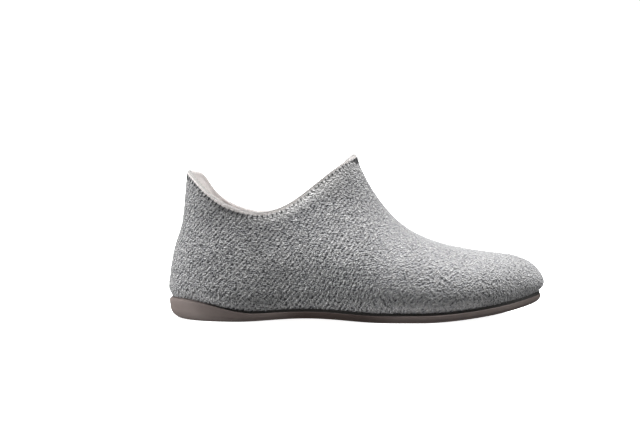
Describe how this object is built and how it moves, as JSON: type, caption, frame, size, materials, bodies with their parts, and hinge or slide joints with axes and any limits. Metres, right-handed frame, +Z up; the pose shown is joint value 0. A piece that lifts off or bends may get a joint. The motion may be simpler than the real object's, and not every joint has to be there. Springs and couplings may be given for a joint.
{
  "type": "house slipper",
  "caption": "Closed house slipper of grey heathered wool with a low ankle collar that peaks at throat and heel, on a thin rubber sole with a low heel cup.",
  "frame": {"origin": "on the floor, under the centre of the slipper's footprint box", "axes": "+X to the toe, +Y to the inner side of the right foot, +Z up"},
  "size_m": [0.256, 0.093, 0.1122],
  "materials": {
    "wool_cloth": "felted twill, matte and heathered",
    "sole_rubber": "moulded, satin",
    "insole_felt": "brushed felt"
  },
  "bodies": {
    "root": {"upper": "wool_cloth", "outsole": "sole_rubber", "insole": "insole_felt"}
  },
  "joints": []
}
